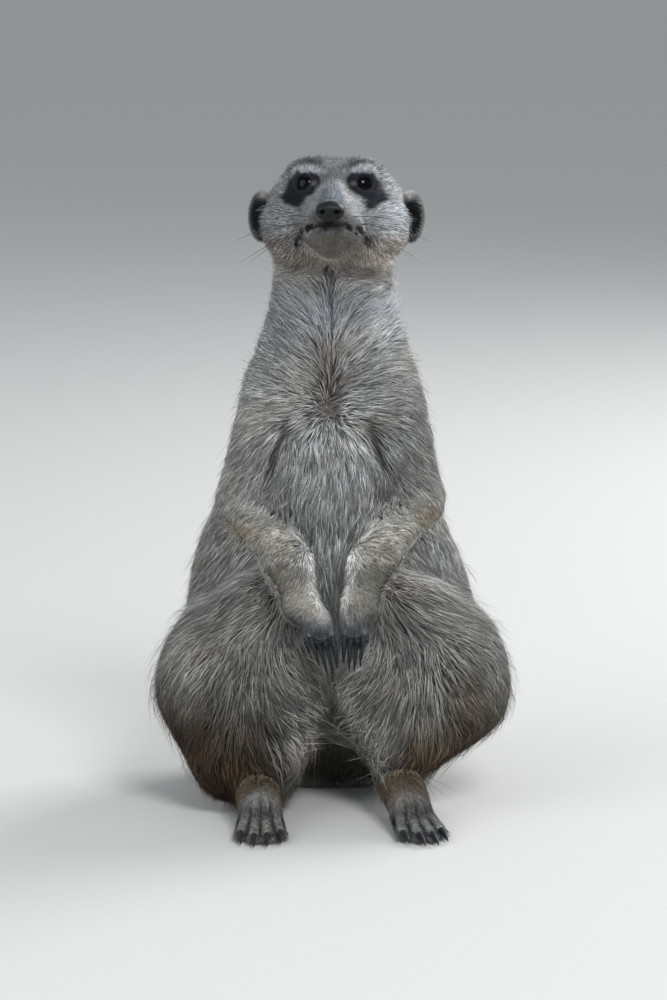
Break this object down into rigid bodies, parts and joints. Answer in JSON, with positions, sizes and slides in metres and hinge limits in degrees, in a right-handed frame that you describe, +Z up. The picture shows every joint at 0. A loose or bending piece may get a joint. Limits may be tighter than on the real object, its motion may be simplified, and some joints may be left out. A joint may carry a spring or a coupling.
{
  "type": "meerkat sitting upright",
  "caption": "Life-size still meerkat sitting upright on its rump, hind feet forward, hands hanging over the lap, slim tail laid out behind.",
  "frame": {"origin": "a point of the rump's resting flat, on the floor, straight below the neck", "axes": "+Z up; the animal faces -Y with its tail laid along +Y; +X is its own left side"},
  "size_m": [0.1389, 0.3273, 0.2499],
  "materials": {
    "coat_pale": "short pale grey coat, cream on the forearms",
    "coat_grizzled": "grizzled grey-brown coat of long ticked hair",
    "coat_brown": "shaggy reddish-brown coat of the outer lower legs",
    "coat_tan": "short tan coat of the hands and feet",
    "coat_dark": "short charcoal coat of the ears and the tail's tip",
    "eye": "wet, glossy, very dark brown",
    "nose_leather": "pebbled, slightly moist charcoal skin",
    "claw": "smooth dark horn"
  },
  "bodies": {
    "root": {"head": "coat_pale", "jaw": "coat_pale", "neck": "coat_pale", "chest": "coat_grizzled", "belly": "coat_grizzled", "rump": "coat_grizzled", "nose": "nose_leather", "tail_base": "coat_grizzled", "tail_middle": "coat_grizzled", "tail_tip": "coat_dark", "eye_left": "eye", "ear_left": "coat_dark", "upper_arm_left": "coat_grizzled", "forearm_left": "coat_pale", "hand_left": "coat_tan", "thigh_left": "coat_grizzled", "shank_left": "coat_brown", "foot_left": "coat_tan", "claw_hind_left_1": "claw", "claw_hind_left_2": "claw", "claw_hind_left_3": "claw", "claw_hind_left_4": "claw", "claw_fore_left_1": "claw", "claw_fore_left_2": "claw", "claw_fore_left_3": "claw", "claw_fore_left_4": "claw", "eye_right": "eye", "ear_right": "coat_dark", "upper_arm_right": "coat_grizzled", "forearm_right": "coat_pale", "hand_right": "coat_tan", "thigh_right": "coat_grizzled", "shank_right": "coat_brown", "foot_right": "coat_tan", "claw_hind_right_1": "claw", "claw_hind_right_2": "claw", "claw_hind_right_3": "claw", "claw_hind_right_4": "claw", "claw_fore_right_1": "claw", "claw_fore_right_2": "claw", "claw_fore_right_3": "claw", "claw_fore_right_4": "claw"}
  },
  "joints": []
}
